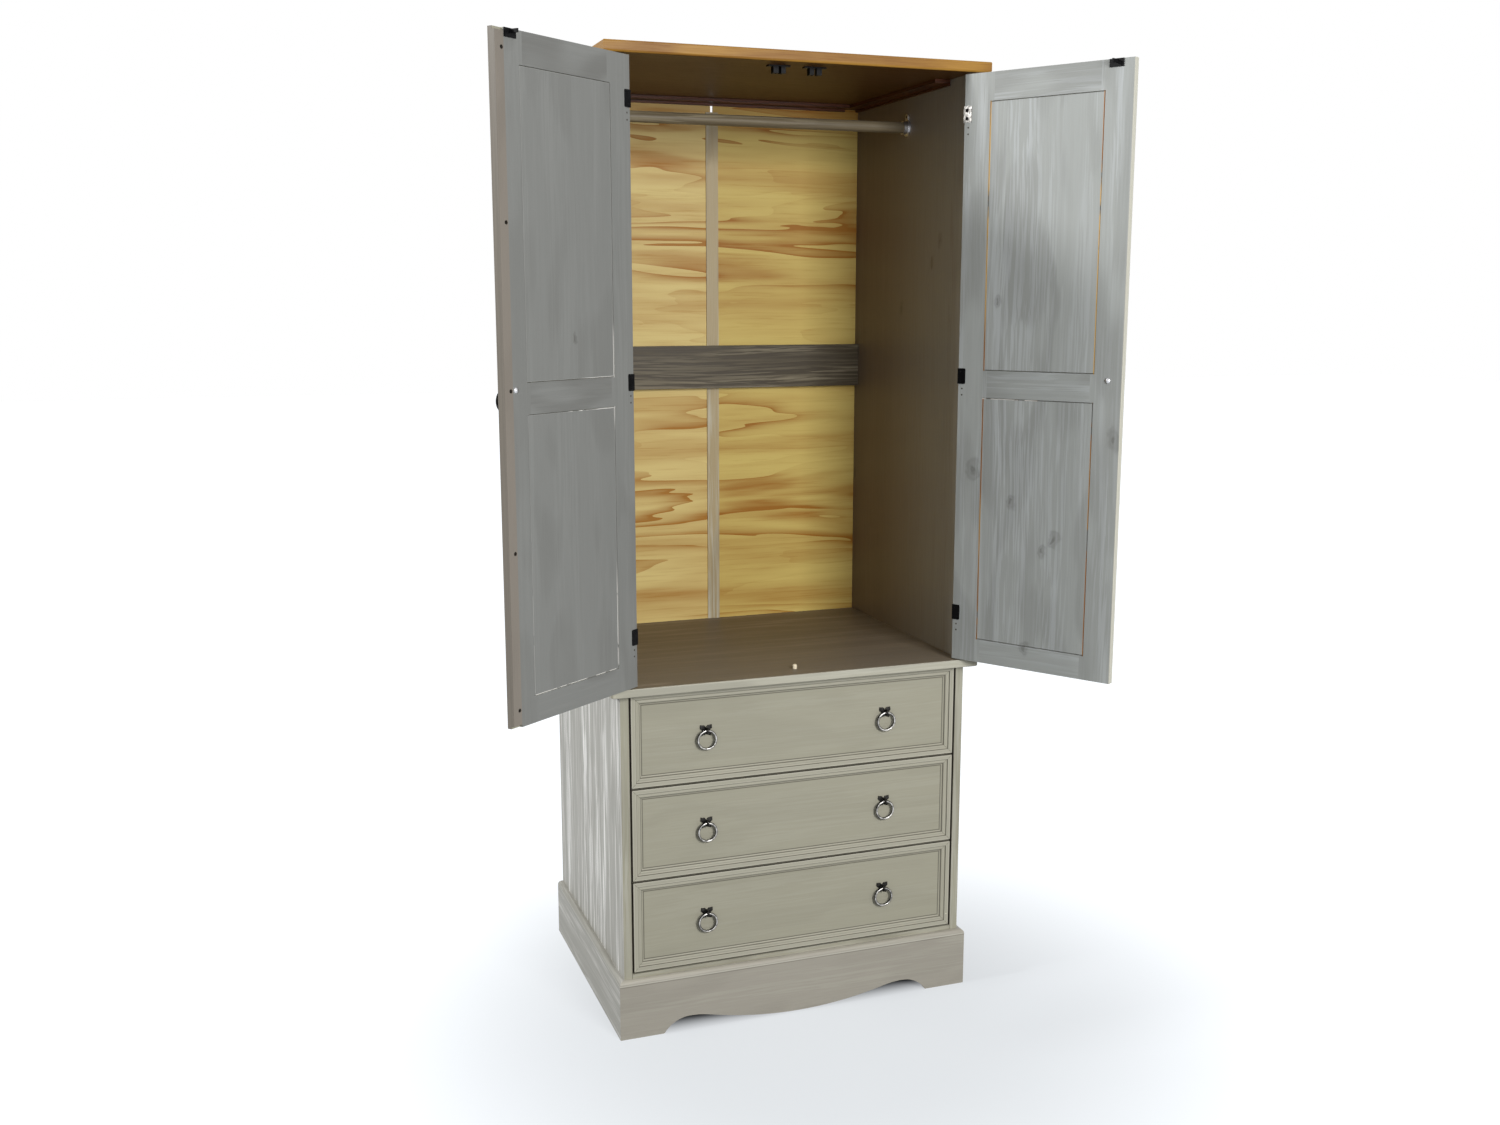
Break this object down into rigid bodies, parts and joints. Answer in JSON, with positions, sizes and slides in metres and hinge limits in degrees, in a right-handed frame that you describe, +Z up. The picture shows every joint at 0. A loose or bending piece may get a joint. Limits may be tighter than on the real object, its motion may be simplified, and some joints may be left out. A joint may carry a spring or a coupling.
{
  "type": "chifforobe",
  "caption": "Painted pine wardrobe over a chest of drawers, with panelled doors standing open, a hanging rail, ring pulls, roller catches and a scalloped plinth.",
  "frame": {"origin": "on the floor under the middle of the rear plinth rail", "axes": "+X to the right seen from the front, +Y to the back, +Z up"},
  "size_m": [1.1297, 0.8327, 1.85],
  "materials": {
    "painted_pine": "washed grey-taupe paint",
    "waxed_pine": "honey wax",
    "stained_pine": "dark stain",
    "raw_pine": "bare",
    "plywood": "lacquered",
    "painted_rail": "satin paint",
    "chrome": "polished",
    "black_metal": "black lacquer",
    "bright_steel": "bright",
    "dark_screws": "blackened",
    "pewter": "antique pewter",
    "cream_plastic": "satin"
  },
  "bodies": {
    "case": {"top_board": "waxed_pine", "top_cleats": "stained_pine", "upper_left_side": "painted_pine", "upper_right_side": "painted_pine", "waist_board": "painted_pine", "lower_left_side": "painted_pine", "lower_right_side": "painted_pine", "back_panels": "plywood", "back_joint_strip": "painted_pine", "back_rail": "painted_pine", "base_rail": "painted_pine", "plinth_front": "painted_pine", "plinth_returns": "painted_pine", "drawer_runners": "raw_pine", "hanging_rail": "painted_rail", "rail_sockets": "chrome", "catch_housings": "black_metal", "door_stop_peg": "cream_plastic", "case_hinge_leaves": "black_metal", "case_screws": "dark_screws"},
    "left_door": {"left_door_stiles": "painted_pine", "left_door_rails": "painted_pine", "left_door_panels": "painted_pine", "left_door_beads": "painted_pine", "left_door_hinge_leaves": "black_metal", "left_door_strike": "black_metal", "left_door_pull_plate": "pewter", "left_door_meeting_strip": "painted_pine", "left_door_strip_screws": "dark_screws"},
    "left_door_ring": {"left_door_pull_ring": "pewter"},
    "left_roller_inner": {"left_catch_roller_inner": "bright_steel"},
    "left_roller_outer": {"left_catch_roller_outer": "bright_steel"},
    "right_door": {"right_door_stiles": "painted_pine", "right_door_rails": "painted_pine", "right_door_panels": "painted_pine", "right_door_beads": "painted_pine", "right_door_hinge_leaves": "black_metal", "right_door_strike": "black_metal", "right_door_pull_plate": "pewter"},
    "right_door_ring": {"right_door_pull_ring": "pewter"},
    "right_roller_inner": {"right_catch_roller_inner": "bright_steel"},
    "right_roller_outer": {"right_catch_roller_outer": "bright_steel"},
    "drawer_1": {"drawer_1_front": "painted_pine", "drawer_1_moulding": "painted_pine", "drawer_1_box": "raw_pine", "drawer_1_pull_plates": "pewter"},
    "drawer_1_left_ring": {"drawer_1_ring_left": "pewter"},
    "drawer_1_right_ring": {"drawer_1_ring_right": "pewter"},
    "drawer_2": {"drawer_2_front": "painted_pine", "drawer_2_moulding": "painted_pine", "drawer_2_box": "raw_pine", "drawer_2_pull_plates": "pewter"},
    "drawer_2_left_ring": {"drawer_2_ring_left": "pewter"},
    "drawer_2_right_ring": {"drawer_2_ring_right": "pewter"},
    "drawer_3": {"drawer_3_front": "painted_pine", "drawer_3_moulding": "painted_pine", "drawer_3_box": "raw_pine", "drawer_3_pull_plates": "pewter"},
    "drawer_3_left_ring": {"drawer_3_ring_left": "pewter"},
    "drawer_3_right_ring": {"drawer_3_ring_right": "pewter"}
  },
  "joints": [
    {"name": "left_door_hinge", "type": "hinge", "parent": "case", "child": "left_door", "pos_m": [-0.33975, -0.527, 1.265], "axis": [0, 0, 1], "range_deg": [-32, 143]},
    {"name": "left_door_ring_swing", "type": "hinge", "parent": "left_door", "child": "left_door_ring", "pos_m": [-0.59164, -0.70992, 1.266], "axis": [0.7986, 0.6018, 0], "range_deg": [-6, 150]},
    {"name": "left_roller_inner_spin", "type": "hinge", "parent": "case", "child": "left_roller_inner", "pos_m": [-0.03013, -0.49494, 1.8215], "axis": [0, 0, 1], "continuous": true},
    {"name": "left_roller_outer_spin", "type": "hinge", "parent": "case", "child": "left_roller_outer", "pos_m": [-0.04087, -0.49606, 1.8215], "axis": [0, 0, 1], "continuous": true},
    {"name": "right_door_hinge", "type": "hinge", "parent": "case", "child": "right_door", "pos_m": [0.33975, -0.527, 1.265], "axis": [0, 0, 1], "range_deg": [-122, 53]},
    {"name": "right_door_ring_swing", "type": "hinge", "parent": "right_door", "child": "right_door_ring", "pos_m": [0.50935, -0.78804, 1.266], "axis": [0.5299, -0.848, 0], "range_deg": [-6, 150]},
    {"name": "right_roller_inner_spin", "type": "hinge", "parent": "case", "child": "right_roller_inner", "pos_m": [0.03013, -0.49494, 1.8215], "axis": [0, 0, 1], "continuous": true},
    {"name": "right_roller_outer_spin", "type": "hinge", "parent": "case", "child": "right_roller_outer", "pos_m": [0.04087, -0.49606, 1.8215], "axis": [0, 0, 1], "continuous": true},
    {"name": "drawer_1_slide", "type": "slide", "parent": "case", "child": "drawer_1", "axis": [0, -1, 0], "range_m": [0, 0.33]},
    {"name": "drawer_1_left_ring_swing", "type": "hinge", "parent": "drawer_1", "child": "drawer_1_left_ring", "pos_m": [-0.188, -0.5255, 0.6], "axis": [-1, 0, 0], "range_deg": [-6, 150]},
    {"name": "drawer_1_right_ring_swing", "type": "hinge", "parent": "drawer_1", "child": "drawer_1_right_ring", "pos_m": [0.188, -0.5255, 0.6], "axis": [-1, 0, 0], "range_deg": [-6, 150]},
    {"name": "drawer_2_slide", "type": "slide", "parent": "case", "child": "drawer_2", "axis": [0, -1, 0], "range_m": [0, 0.33]},
    {"name": "drawer_2_left_ring_swing", "type": "hinge", "parent": "drawer_2", "child": "drawer_2_left_ring", "pos_m": [-0.188, -0.5255, 0.415], "axis": [-1, 0, 0], "range_deg": [-6, 150]},
    {"name": "drawer_2_right_ring_swing", "type": "hinge", "parent": "drawer_2", "child": "drawer_2_right_ring", "pos_m": [0.188, -0.5255, 0.415], "axis": [-1, 0, 0], "range_deg": [-6, 150]},
    {"name": "drawer_3_slide", "type": "slide", "parent": "case", "child": "drawer_3", "axis": [0, -1, 0], "range_m": [0, 0.33]},
    {"name": "drawer_3_left_ring_swing", "type": "hinge", "parent": "drawer_3", "child": "drawer_3_left_ring", "pos_m": [-0.188, -0.5255, 0.23], "axis": [-1, 0, 0], "range_deg": [-6, 150]},
    {"name": "drawer_3_right_ring_swing", "type": "hinge", "parent": "drawer_3", "child": "drawer_3_right_ring", "pos_m": [0.188, -0.5255, 0.23], "axis": [-1, 0, 0], "range_deg": [-6, 150]}
  ]
}
